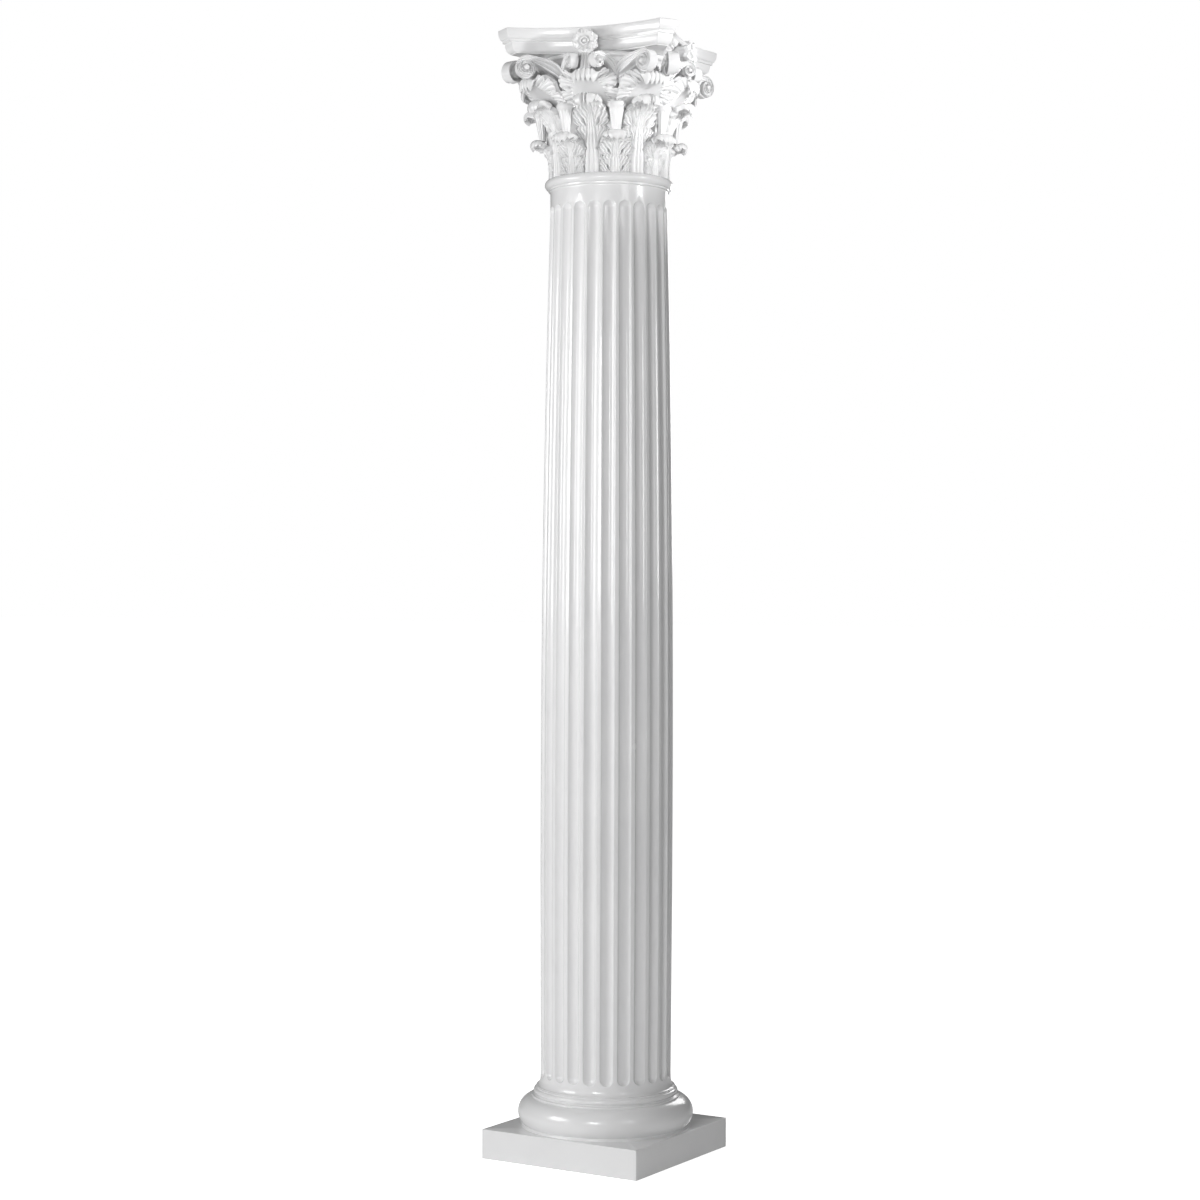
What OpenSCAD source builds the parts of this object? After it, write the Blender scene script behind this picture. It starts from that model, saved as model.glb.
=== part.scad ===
// Fluted column with a Corinthian capital, moulded in four pieces that wrap a square post.
// The column stands on the XY plane with its axis on Z. Millimetres.

/* [Whole column] */
// Height from the floor to the top of the abacus
column_h = 2552; // [1800:1:3600]
// Side of the square space left for the post
post_w = 140; // [90:1:144]
// Turn of the shaft about its axis, in degrees
shaft_turn = 2; // [-30:0.5:30]
// Turn of the capital about its axis, in degrees
capital_turn = 15; // [-45:0.5:45]

/* [Base] */
// Side of the square plinth
plinth_w = 408; // [400:1:560]
// Thickness of the plinth
plinth_h = 67; // [40:1:110]
// Radius of the torus section
torus_r = 36.5; // [28:0.5:46]
// Height of the rings above the torus
base_ring_h = 23; // [16:0.5:32]

/* [Shaft] */
// Radius of the shaft at its widest, at the lands
shaft_r = 152; // [148:0.5:182]
// Radius of the shaft at its neck, at the lands
neck_r = 134.5; // [130:0.5:148]
// Part of the shaft's height at which it is widest
entasis_at = 0.33; // [0.2:0.01:0.5]
// Wall between the lands and the hollow
wall_t = 30; // [22:0.5:36]
// Width of one flute
flute_w = 29; // [18:0.5:33]
// Depth of one flute
flute_d = 10; // [5:0.5:14]
// Plain height below and above the flutes
flute_end = 24; // [18:1:60]
// Height of the bead and fillet at the neck
astragal_h = 34; // [28:0.5:44]

/* [Capital] */
// Height of the capital, with its abacus
capital_h = 320; // [270:1:390]
// Height of the abacus
abacus_h = 53; // [40:1:70]
// Distance from the axis to an abacus corner
abacus_r = 273.7; // [255:0.5:330]
// Width of a cut corner of the abacus
abacus_cut_w = 45; // [30:1:60]
// Depth of the hollow in each abacus side
abacus_dip = 41; // [20:1:50]
// Reach of the lower leaves from the axis
lower_leaf_r = 182; // [172:1:200]
// Reach of the upper leaves from the axis
upper_leaf_r = 206; // [190:1:220]
// Width of a leaf of the lower row
lower_leaf_w = 70; // [60:1:96]
// Width of a leaf of the upper row
upper_leaf_w = 78; // [60:1:96]
// Radius of the corner volutes
volute_r = 28; // [20:1:32]
// Width of the flower on each side
flower_w = 56; // [40:1:60]

/* [Hidden] */
paint = "white";
flutes = 24;
pitch = 360 / flutes;
faces = 4;

// Heights of the joints between the pieces
torus_sink = 5.5;
base_h = plinth_h + 2 * torus_r - torus_sink - 1.5 + base_ring_h;
capital_z = column_h - capital_h;
shaft_h = capital_z - base_h;
post_gap = 5;
bore_r = post_w / 2 * sqrt(2) + post_gap;

// Base
torus_cr = shaft_r + 12.5;
torus_cz = plinth_h + torus_r - torus_sink;
torus_foot_a = -48;
torus_top_a = 76;
torus_seat_r = torus_cr + 26.5;
torus_seat_h = 1.5;
base_fillet_h = 4;
shaft_seat_edge = 1;

// Shaft, with heights measured from its foot
foot_lip = 7;
foot_sweep = 19;
widest_h = shaft_h * entasis_at;
foot_thin = 2.5;
foot_flare = 9;
fluted_low = flute_end;
fluted_top = shaft_h - astragal_h - flute_end - 5;
neck_thin = shaft_r - neck_r;
cutter_r = (pow(flute_w / 2, 2) + pow(flute_d, 2)) / (2 * flute_d);
bead_r = 11;
bead_cr = neck_r + 1.5;
fillet_h = 5;
fillet_r = neck_r + 4.5;
flute_runs = 3;

// Capital, with heights measured from its foot
bell_h = capital_h - abacus_h;
bell_foot_r = neck_r - 7;
bell_lip_r = neck_r + 29;
bell_lip_h = 6;
leaf_sink = 5;
lower_leaf_t = 9;
upper_leaf_t = 6;
small_leaf_t = 6;
lower_crest = 88;
lower_sweep_h = 30;
upper_crest = lower_crest + 87;
upper_sweep_h = 84;
leaf_curl = 14;
calyx_foot = upper_crest - 15;
calyx_crest = bell_h - 53;
stalk_low = lower_crest + 4;
stalk_high = bell_h - 101;
volute_h = bell_h - volute_r - 9;
volute_cr = abacus_r - volute_r - 12;
volute_a = 36.5;
volute_w = 22;
helix_r = 15;
helix_w = 20;
helix_h = bell_h - helix_r - 21;
helix_cr = bell_lip_r + 32.5;
helix_out = 27;
flower_r = bell_lip_r + 26.5;
flower_h = bell_h + 16;

// Radius of the shaft at the lands, at height h above its foot
function land_r(h) =
    let (low = (widest_h - h) / widest_h, high = (h - widest_h) / (fluted_top - widest_h))
    h < widest_h ? shaft_r - foot_thin * low * low : shaft_r - neck_thin * min(high * high, 1);

// Radius of the capital's bell at height h above its foot
function bell_r(h) = bell_foot_r + (bell_lip_r - bell_foot_r) * pow(h / bell_h, 3);

function mix(a, b, t) = a + (b - a) * t;
function arc(cx, cy, r, from, to, steps) =
    [for (i = [0:steps]) let (a = mix(from, to, i / steps)) [cx + r * cos(a), cy + r * sin(a)]];
// Point on a smooth curve that leaves a towards b and arrives at d from c
function curve(a, b, c, d, t) =
    pow(1 - t, 3) * a + 3 * t * pow(1 - t, 2) * b + 3 * t * t * (1 - t) * c + pow(t, 3) * d;

// Closed solid through rings of equal size, each anticlockwise seen from the last one's side
module loft(rings) {
    n = len(rings[0]);
    last = len(rings) - 1;
    points = concat([for (ring = rings) for (p = ring) p], [centre(rings[0]), centre(rings[last])]);
    sides = [for (i = [0:last - 1]) for (j = [0:n - 1])
        let (a = i * n + j, b = i * n + (j + 1) % n)
        each [[a, b + n, b], [a, a + n, b + n]]];
    caps = [for (j = [0:n - 1])
        let (k = (j + 1) % n, end = last * n)
        each [[j, k, end + n], [end + k, end + j, end + n + 1]]];
    polyhedron(points, concat(sides, caps), convexity = 6);
}

function centre(ring) = [for (k = [0:2]) vsum([for (p = ring) p[k]]) / len(ring)];
function vsum(list) = list * [for (v = list) 1];

module around(count, from = 0) {
    for (i = [0:count - 1])
        rotate([0, 0, from + i * 360 / count])
            children();
}

// Base

module base() {
    ring_z = torus_cz + torus_r * sin(torus_top_a);
    ring_r = torus_cr + torus_r * cos(torus_top_a) - 2;
    lip_r = shaft_foot_r() + shaft_seat_edge;
    scotia_r = (base_h - ring_z - base_fillet_h - 2) / 2;
    profile = concat(
        [[0, plinth_h / 2], [torus_seat_r, plinth_h / 2], [torus_seat_r, plinth_h + torus_seat_h]],
        arc(torus_cr, torus_cz, torus_r, torus_foot_a, torus_top_a, 20),
        [[ring_r, ring_z], [ring_r, ring_z + base_fillet_h]],
        arc(lip_r, ring_z + base_fillet_h + scotia_r, scotia_r, -80, 80, 6),
        [[lip_r, base_h - 2], [lip_r, base_h], [0, base_h]]);
    color(paint)
        difference() {
            union() {
                translate([-plinth_w / 2, -plinth_w / 2, 0])
                    cube([plinth_w, plinth_w, plinth_h]);
                rotate_extrude($fn = 96)
                    polygon(profile);
            }
            translate([0, 0, -1])
                cylinder(r = bore_r, h = base_h + 2, $fn = 96);
        }
}

// Shaft

function shaft_foot_r() = land_r(foot_sweep) + foot_flare;

function shaft_outline() = let (
        low_r = land_r(foot_sweep + foot_lip),
        lip = shaft_foot_r(),
        bead_h = shaft_h - bead_r,
        fillet_top = bead_h - bead_r + 2,
        fillet_low = fillet_top - fillet_h)
    concat(
        [[land_r(0) - wall_t, 0], [lip, 0]],
        arc(lip, foot_sweep + 2, lip - low_r, -90, -180, 3),
        [for (h = stations()) [land_r(h), h]],
        [[neck_r, fillet_low], [fillet_r, fillet_low], [fillet_r, fillet_top]],
        arc(bead_cr, bead_h, bead_r, -60, 90, 4),
        [[neck_r - wall_t, shaft_h], [land_r(widest_h) - wall_t - 2, widest_h]]);

// Heights at which the shaft's long curve is broken into straight stretches
function stations() = concat(
    [fluted_low],
    [for (i = [0:flute_runs - 1]) mix(widest_h, fluted_top, i / (flute_runs - 1))]);

// Slice of a flute's cutter at height h, past the middle of its round end by that share of a turn
function flute_ring(h, past) = let (r = cutter_r * cos(past), mid = land_r(h) + cutter_r - flute_d)
    [for (a = [100:-40:-100]) [mid - r * cos(a), r * sin(a), h + cutter_r * sin(past)]];

// One round-ended hollow cut along the shaft, on the X side
module flute() {
    stops = stations();
    last = len(stops) - 1;
    low = stops[0] + flute_w / 2;
    high = stops[last] - flute_w / 2;
    loft(concat(
        [for (past = [-72, -36, 0]) flute_ring(low, past)],
        [for (i = [1:last - 1]) flute_ring(stops[i], 0)],
        [for (past = [0, 36, 72]) flute_ring(high, past)]));
}

module shaft_half(turn) {
    color(paint)
        translate([0, 0, base_h])
            rotate([0, 0, capital_turn + shaft_turn + turn])
                difference() {
                    rotate_extrude(angle = 180, $fn = 2 * flutes)
                        polygon(shaft_outline());
                    for (i = [0:flutes / 2])
                        rotate([0, 0, i * pitch])
                            flute();
                }
}

module shaft_front_half() shaft_half(180);
module shaft_back_half() shaft_half(0);

// Capital

// Point at distance r from the axis and sideways distance x round the axis, at height h
function wrap(r, x, h) = let (a = x / r * 180 / PI) [r * cos(a), r * sin(a), h];

// A leaf against the bell, on the X side. Its back climbs to sweep_h, sweeps out to the crest and
// curls over at reach, and its front stands thick in front of that.
module leaf(foot, sweep_h, crest, reach, width, curl, thick, rise = 3, bend = 3) {
    run = reach - curl;
    foot_r = bell_r(sweep_h) - leaf_sink;
    path = concat(
        [[bell_r(foot) - leaf_sink, foot]],
        [for (i = [0:rise - 1])
            let (a = i * 90 / rise)
            [run - (run - foot_r) * cos(a), sweep_h + (crest - sweep_h) * sin(a)]],
        arc(run, crest - curl, curl, 90, -20, bend));
    last = len(path) - 1;
    rings = [for (i = [0:last])
        let (p = path[i],
             t = i / last,
             step = i == 0 ? [0, 1] : path[min(i + 1, last)] - path[i - 1],
             depth = thick + leaf_sink * (i < 2 ? 1 : 0),
             q = p + [step[1], -step[0]] / norm(step) * depth * mix(1, 0.7, t),
             w = width / 2 * mix(1, 0.62, max(t - 0.4, 0) / 0.6))
        [wrap(p[0], w, p[1]), wrap(p[0], -w, p[1]), wrap(q[0] - 2, -w * 0.92, q[1]),
         wrap(q[0] + 2, 0, q[1]), wrap(q[0] - 2, w * 0.92, q[1])]];
    loft(rings);
}

// Pair of leaf tips that meet under the abacus, on the X side
module calyx(reach) {
    leaf(calyx_foot, calyx_foot + 8, calyx_crest, reach, 50, 10, small_leaf_t, 2, 2);
}

// Stalk on the bell that the upper scrolls grow from, on the X side
module stalk(low, high, foot_r = 9, head_r = 17, head_h = 8) {
    hull() {
        translate([bell_r(low) + 2, 0, low])
            cylinder(r = foot_r, h = 2, $fn = 6);
        translate([bell_r(high) + 6, 0, high - head_h])
            cylinder(r = head_r, h = head_h, $fn = 6);
    }
}

// A ribbon that climbs from start, in the upright plane through centre, and rolls up round an eye
module scroll(start, centre, r, turns, width, steps, disc_r, disc_w, stem_steps = 2) {
    out = [centre[0] - start[0], centre[1] - start[1]];
    run = norm(out);
    dir = out / run;
    side = [-dir[1], dir[0]];
    thick = r * 0.3;
    eye_r = r * 0.3;
    first_a = 130;
    top = [run + r * cos(first_a), centre[2] + r * sin(first_a)];
    stem = [for (i = [0:stem_steps - 1])
        curve([0, start[2]], [0, mix(start[2], centre[2], 0.6)],
              top - r * 0.8 * [sin(first_a), -cos(first_a)], top, i / stem_steps)];
    coil = [for (i = [0:steps])
        let (t = i / steps, a = first_a - t * 360 * turns, d = mix(r, eye_r + thick / 2, t))
        [run + d * cos(a), centre[2] + d * sin(a)]];
    path = concat(stem, coil);
    last = len(path) - 1;
    rings = [for (i = [0:last])
        let (p = path[i],
             step = path[min(i + 1, last)] - path[max(i - 1, 0)],
             n = [step[1], -step[0]] / norm(step) * thick / 2)
        [for (c = [[1, -1], [1, 1], [-1, 1], [-1, -1]])
            let (q = p + n * c[0], w = side * c[1] * width / 2)
            [start[0] + dir[0] * q[0] + w[0], start[1] + dir[1] * q[0] + w[1], q[1]]]];
    loft(rings);
    translate(centre)
        rotate([0, 0, atan2(side[1], side[0])])
            rotate([0, 90, 0])
                cylinder(r = disc_r, h = disc_w, center = true, $fn = 8);
}

// Flower on the middle of an abacus side, on the X side
module flower(r, h, petals = 8) {
    translate([r, 0, h])
        rotate([0, 90, 0])
            loft([for (level = [[-42, 0.9], [4, 1], [17, 0.4]])
                [for (i = [0:2 * petals - 1])
                    let (a = i * 180 / petals,
                         d = flower_w / 2 * level[1] * (i % 2 == 0 || level[1] < 0.5 ? 1 : 0.84))
                    [d * cos(a), d * sin(a), level[0]]]]);
}

// Outline of the abacus: a square with cut corners and hollow sides, moved in by inset
function abacus_outline(inset, side_steps = 4) = let (
        corner = abacus_r / sqrt(2) + abacus_cut_w / 2 / sqrt(2),
        end = abacus_r / sqrt(2) - abacus_cut_w / 2 / sqrt(2),
        side_r = (end * end + abacus_dip * abacus_dip) / (2 * abacus_dip),
        centre_d = corner - abacus_dip + side_r,
        half_a = asin(end / side_r) )
    [for (k = [0:faces - 1]) for (i = [0:side_steps])
        let (b = mix(-half_a, half_a, i / side_steps),
             rr = side_r + inset,
             x = centre_d - rr * cos(b),
             y = rr * sin(b) * (1 - inset * 0.9 / end),
             a = k * 90)
        [x * cos(a) - y * sin(a), x * sin(a) + y * cos(a)]];

module abacus() {
    top = capital_h;
    levels = [[bell_h, 29], [bell_h + 14, 24], [bell_h + 24, 15], [bell_h + 27, 9], [top - 15, 2.5],
              [top - 7, 0], [top, 0]];
    loft([for (v = levels) [for (p = abacus_outline(v[1])) [p[0], p[1], v[0]]]]);
}

module bell() {
    rotate_extrude($fn = 24)
        polygon(concat(
            [[bore_r - 20, 0]],
            [for (i = [0:2]) let (h = i / 2 * (bell_h - 2 * bell_lip_h)) [bell_r(h), h]],
            [[bell_lip_r, bell_h - bell_lip_h], [bell_lip_r, bell_h + 1], [bore_r - 20, bell_h + 5]]));
}

module capital() {
    color(paint)
        translate([0, 0, capital_z])
            rotate([0, 0, capital_turn])
                difference() {
                    union() {
                        bell();
                        abacus();
                        around(2 * faces, 22.5)
                            leaf(0, lower_sweep_h, lower_crest, lower_leaf_r, lower_leaf_w, leaf_curl,
                                 lower_leaf_t);
                        around(2 * faces)
                            leaf(0, upper_sweep_h, upper_crest, upper_leaf_r, upper_leaf_w, leaf_curl,
                                 upper_leaf_t);
                        around(faces)
                            calyx(upper_leaf_r);
                        around(faces, 45)
                            calyx(upper_leaf_r + 12);
                        around(2 * faces, 22.5)
                            stalk(stalk_low, stalk_high);
                        around(faces)
                            for (s = [-1, 1])
                                scrolls(s);
                        around(faces)
                            flower(flower_r, flower_h);
                    }
                    translate([0, 0, -1])
                        cylinder(r = bore_r, h = capital_h + 2, $fn = 24);
                }
}

// Corner volute and inner helix of one half face, on the X side
module scrolls(s) {
    stalk_r = bell_r(stalk_high) + 8;
    start = [stalk_r * cos(22.5), s * stalk_r * sin(22.5), stalk_high - 6];
    corner = [volute_cr * cos(volute_a), s * volute_cr * sin(volute_a), volute_h];
    helix = [helix_cr, s * helix_out, helix_h];
    scroll(start, corner, volute_r, 1.05, volute_w, 7, volute_r * 0.7, volute_w * 0.6);
    scroll(start, helix, helix_r, 0.2, helix_w, 1, helix_r * 0.9, helix_w * 1.1);
}

base();
shaft_front_half();
shaft_back_half();
capital();
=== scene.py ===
import math
from math import cos, pi, sin, sqrt, tau

import bmesh
import bpy
from mathutils import Euler, Matrix, Vector


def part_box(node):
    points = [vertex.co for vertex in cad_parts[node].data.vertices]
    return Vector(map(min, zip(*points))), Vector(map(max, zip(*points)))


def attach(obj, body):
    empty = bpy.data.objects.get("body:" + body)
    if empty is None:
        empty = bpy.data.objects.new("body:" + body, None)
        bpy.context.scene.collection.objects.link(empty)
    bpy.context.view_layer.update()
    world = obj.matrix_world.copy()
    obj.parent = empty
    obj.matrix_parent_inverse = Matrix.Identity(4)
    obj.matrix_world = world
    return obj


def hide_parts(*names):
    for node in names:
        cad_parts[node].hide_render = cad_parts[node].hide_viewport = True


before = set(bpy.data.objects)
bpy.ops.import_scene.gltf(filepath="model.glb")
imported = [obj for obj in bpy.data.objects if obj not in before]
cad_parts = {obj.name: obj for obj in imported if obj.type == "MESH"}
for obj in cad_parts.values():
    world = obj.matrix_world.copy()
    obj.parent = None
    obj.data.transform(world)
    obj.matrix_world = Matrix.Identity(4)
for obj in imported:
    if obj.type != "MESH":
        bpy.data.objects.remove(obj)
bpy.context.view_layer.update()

baseLow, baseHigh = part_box("base")
shaftLow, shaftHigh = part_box("shaft_front_half")
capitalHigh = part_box("capital")[1]
plinthSide = baseHigh.x - baseLow.x
baseHeight = baseHigh.z
shaftHeight = shaftHigh.z - shaftLow.z
capitalFoot = shaftHigh.z
capitalHeight = capitalHigh.z - capitalFoot

# turns of the pieces about the axis, and sizes they share
column = {
    "shaftTurn": math.radians(2),
    "capitalTurn": math.radians(15),
    "shaftRadius": 0.152,
    "neckRadius": 0.1345,
    "boreRadius": 0.104,
    "faces": 4,
    "abacusHeight": 0.053,
    "leafBend": 0.13,  # least radius that a leaf bends round
    "carvedSharp": 50,
}


class Wire:
    # one output of a node; sums written with it add Math nodes to its tree
    def __init__(self, board, node, socket):
        self.board = board
        self.node = node
        self.socket = socket

    def out(self, name):
        return Wire(self.board, self.node, self.node.outputs[name])

    def maths(self, operation, first, second):
        return self.board.add("ShaderNodeMath", {"operation": operation}, {0: first, 1: second})

    def __add__(self, other):
        return self.maths("ADD", self, other)

    def __radd__(self, other):
        return self.maths("ADD", other, self)

    def __mul__(self, other):
        return self.maths("MULTIPLY", self, other)

    def __rmul__(self, other):
        return self.maths("MULTIPLY", other, self)


class Board:
    # a node tree that is being wired up
    def __init__(self, tree):
        self.tree = tree

    def add(self, kind, settings=None, values=None):
        node = self.tree.nodes.new(kind)
        for name, value in (settings or {}).items():
            if name == "stops":
                for stop, (place, shade) in zip(node.color_ramp.elements, value):
                    stop.position = place
                    stop.color = shade
            else:
                setattr(node, name, value)
        for key, value in (values or {}).items():
            if isinstance(value, Wire):
                self.tree.links.new(value.socket, node.inputs[key])
            else:
                node.inputs[key].default_value = value
        return Wire(self, node, node.outputs[0] if node.outputs else None)


def mixed(a, b, t):
    return a + (b - a) * t


def eased(t):
    t = min(max(t, 0), 1)
    return t * t * (3 - 2 * t)


def meshPiece(name, points, faces):
    mesh = bpy.data.meshes.new(name)
    mesh.from_pydata(points, [], faces)
    piece = bpy.data.objects.new(name, mesh)
    bpy.context.scene.collection.objects.link(piece)
    return piece


def gridFaces(rows, columns, rowsClosed=False, columnsClosed=False):
    faces = []
    for i in range(rows if rowsClosed else rows - 1):
        here = i * columns
        there = (i + 1) % rows * columns
        for j in range(columns if columnsClosed else columns - 1):
            k = (j + 1) % columns
            faces.append((here + j, here + k, there + k, there + j))
    return faces


# skin over rings of points; a hollow one closes on itself, any other gets flat ends
def skin(name, rings, hollow=False):
    size = len(rings[0])
    points = [point for ring in rings for point in ring]
    faces = gridFaces(len(rings), size, hollow, True)
    if not hollow:
        last = len(points) - size
        faces.append(tuple(range(size)))
        faces.append(tuple(last + j for j in range(size)))
    return meshPiece(name, points, faces)


# closed solid between a front rule and a coarser back rule, over u from -1 to 1 and v from 0 to 1
def slab(name, rows, columns, front, back, backColumns=9):
    across = [2 * j / (columns - 1) - 1 for j in range(columns)]
    behind = [1 - 2 * j / (backColumns - 1) for j in range(backColumns)]
    points = []
    for i in range(rows):
        v = i / (rows - 1)
        points += [front(u, v) for u in across]
        points += [back(u, v) for u in behind]
    ring = columns + backColumns
    share = (columns - 1) // (backColumns - 1)
    faces = gridFaces(rows, ring, False, True)
    for start in (0, (rows - 1) * ring):
        for k in range(backColumns - 1):
            first = columns - 1 - (k + 1) * share
            edge = [start + j for j in range(first, first + share + 1)]
            faces.append(tuple(edge + [start + columns + k, start + columns + k + 1]))
    return meshPiece(name, points, faces)


def circleRing(radius, height, steps):
    return [(radius * cos(tau * i / steps), radius * sin(tau * i / steps), height) for i in range(steps)]


def arcPoints(x, y, radius, start, end, steps):
    turns = [math.radians(mixed(start, end, i / steps)) for i in range(steps + 1)]
    return [(x + radius * cos(a), y + radius * sin(a)) for a in turns]


# outline of a moulding from a corner; an item is a point, or an arc's centre, radius, angles and steps
def moulding(x, y, items):
    outline = []
    for dx, dy, *arc in items:
        outline += arcPoints(x + dx, y + dy, *arc) if arc else [(x + dx, y + dy)]
    return outline


def joined(name, pieces):
    shape = bmesh.new()
    for piece in pieces:
        shape.from_mesh(piece.data)
    mesh = bpy.data.meshes.new(name)
    shape.to_mesh(mesh)
    shape.free()
    for piece in pieces:
        bpy.data.objects.remove(piece)
    result = bpy.data.objects.new(name, mesh)
    bpy.context.scene.collection.objects.link(result)
    return result


def turnedPiece(piece, turn, rise=0.0):
    c, s = cos(turn), sin(turn)
    for vertex in piece.data.vertices:
        x, y, z = vertex.co
        vertex.co = (x * c - y * s, x * s + y * c, z + rise)
    return piece


# welds, points the faces outwards and shades smooth up to an angle
def settled(piece, sharpDegrees, weld=1e-6, fillHoles=False):
    shape = bmesh.new()
    shape.from_mesh(piece.data)
    bmesh.ops.remove_doubles(shape, verts=shape.verts, dist=weld)
    if fillHoles:
        bmesh.ops.holes_fill(shape, edges=shape.edges, sides=0)
    bmesh.ops.recalc_face_normals(shape, faces=shape.faces)
    shape.to_mesh(piece.data)
    shape.free()
    piece.data.shade_smooth()
    piece.data.set_sharp_from_angle(angle=math.radians(sharpDegrees))
    return piece


# swaps a piece's mesh for what its modifiers make of it
def baked(piece):
    shape = piece.evaluated_get(bpy.context.evaluated_depsgraph_get())
    mesh = bpy.data.meshes.new_from_object(shape)
    piece.modifiers.clear()
    piece.data = mesh
    return piece


def softened(piece, width, degrees, segments=3):
    bevel = piece.modifiers.new("soft edges", "BEVEL")
    bevel.width = width
    bevel.segments = segments
    bevel.limit_method = "ANGLE"
    bevel.angle_limit = math.radians(degrees)
    return baked(piece)


# tree that repeats a piece round the Z axis and welds the copies where they meet
def makeRoundTree():
    tree = bpy.data.node_groups.new("repeat round the axis", "GeometryNodeTree")
    sockets = (("Geometry", "INPUT", "Geometry"), ("Count", "INPUT", "Int"),
               ("First angle", "INPUT", "Float"), ("Step angle", "INPUT", "Float"),
               ("Weld", "INPUT", "Float"), ("Finish", "INPUT", "Material"),
               ("Geometry", "OUTPUT", "Geometry"))
    for name, side, kind in sockets:
        tree.interface.new_socket(name, in_out=side, socket_type="NodeSocket" + kind)
    board = Board(tree)
    given = board.add("NodeGroupInput")
    line = board.add("GeometryNodeMeshLine", None, {"Count": given.out("Count"), "Offset": (0, 0, 0)})
    index = board.add("GeometryNodeInputIndex")
    angle = given.out("First angle") + index * given.out("Step angle")
    turn = board.add("ShaderNodeCombineXYZ", None, {"Z": angle})
    copies = board.add("GeometryNodeInstanceOnPoints", None,
                       {"Points": line, "Instance": given.out("Geometry"), "Rotation": turn})
    solid = board.add("GeometryNodeRealizeInstances", None, {"Geometry": copies})
    welded = board.add("GeometryNodeMergeByDistance", None,
                       {"Geometry": solid, "Distance": given.out("Weld")})
    painted = board.add("GeometryNodeSetMaterial", None,
                        {"Geometry": welded, "Material": given.out("Finish")})
    board.add("NodeGroupOutput", None, {"Geometry": painted})
    return tree


roundTree = makeRoundTree()


def repeated(piece, count, firstAngle, stepAngle, finish, weld=1e-7):
    choices = {"Count": count, "First angle": firstAngle, "Step angle": stepAngle, "Weld": weld,
               "Finish": finish}
    modifier = piece.modifiers.new("repeat", "NODES")
    modifier.node_group = roundTree
    for item in roundTree.interface.items_tree:
        if item.in_out == "INPUT" and item.name in choices:
            modifier[item.identifier] = choices[item.name]
    return baked(piece)


def placed(piece, finish, *nodes):
    if not piece.data.materials:
        piece.data.materials.append(finish)
    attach(piece, "root")
    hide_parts(*nodes)
    print("made", piece.name, len(piece.data.polygons), "faces")


def makePaint(name, paint):
    material = bpy.data.materials.new(name)
    material.use_nodes = True
    material.node_tree.nodes.clear()
    board = Board(material.node_tree)
    place = board.add("ShaderNodeTexCoord").out("Object")
    cloud = board.add("ShaderNodeTexNoise", None,
                      {"Vector": place, "Scale": paint["cloudScale"], "Detail": paint["cloudDetail"],
                       "Roughness": paint["cloudRoughness"]})
    stops = ((paint["shadeStop"], paint["shade"]), (paint["lightStop"], paint["light"]))
    tint = board.add("ShaderNodeValToRGB", {"stops": stops}, {"Fac": cloud.out("Fac")})
    peel = board.add("ShaderNodeTexNoise", None,
                     {"Vector": place, "Scale": paint["peelScale"], "Detail": paint["peelDetail"]})
    sag = board.add("ShaderNodeTexNoise", None,
                    {"Vector": place, "Scale": paint["waveScale"], "Detail": paint["waveDetail"]})
    height = peel.out("Fac") * paint["peelHeight"] + sag.out("Fac") * paint["waveHeight"]
    bump = board.add("ShaderNodeBump", None, {"Height": height, "Strength": 1.0, "Distance": 1.0})
    rough = cloud.out("Fac") * paint["roughSwing"] + paint["roughness"]
    shader = board.add("ShaderNodeBsdfPrincipled", None,
                       {"Base Color": tint, "Roughness": rough, "Normal": bump, "IOR": paint["ior"],
                        "Coat Weight": paint["coat"], "Coat Roughness": paint["coatRoughness"]})
    board.add("ShaderNodeOutputMaterial", None, {"Surface": shader})
    return material


glossWhite = {
    "shade": (0.83, 0.83, 0.835, 1),
    "light": (0.87, 0.87, 0.872, 1),
    "shadeStop": 0.3,
    "lightStop": 0.7,
    "cloudScale": 6.0,
    "cloudDetail": 3.0,
    "cloudRoughness": 0.55,
    "peelScale": 260.0,
    "peelDetail": 2.0,
    "peelHeight": 0.00003,
    "waveScale": 22.0,
    "waveDetail": 1.0,
    "waveHeight": 0.0003,
    "roughness": 0.17,
    "roughSwing": 0.14,
    "ior": 1.5,
    "coat": 0.35,
    "coatRoughness": 0.06,
}
paintMaterial = makePaint("gloss white paint", glossWhite)
print("paint mixed")


base = {
    "plinthHeight": 0.067,
    "plinthEdge": 0.0020,
    "edgeAngle": 75,
    "innerShare": 0.8,  # a ring on the underside, as a share of the plinth's half side
    "seatReach": 0.1955,
    "footRing": ((0.0245, 0.0005, 0.0048, -6, 75, 8),),  # from the torus's middle and the plinth's top
    "torusReach": 0.1645,
    "torusHeight": 0.098,
    "torus": ((0, 0, 0.0365, -44, 76, 40),),
    "filletTop": 0.0712,
    "rings": ((0.1697, -0.004), (0.1697, -0.0009, 0.0009, 0, 90, 4), (0.1655, 0.0004), (0.1642, 0.0016),
              (0.1588, 0.0082, 0.0064, -60, 75, 14)),  # from the axis and the fillet's top
    "lip": ((0.1596, -0.0026), (0.1590, -0.0012, 0.0012, -40, 90, 6)),  # from the axis and the base's top
    "steps": 192,
    "sharp": 40,
}


def squareRing(half, height, steps):
    ring = []
    for i in range(steps):
        angle = tau * i / steps
        reach = half / max(abs(cos(angle)), abs(sin(angle)))
        ring.append((reach * cos(angle), reach * sin(angle), height))
    return ring


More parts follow.
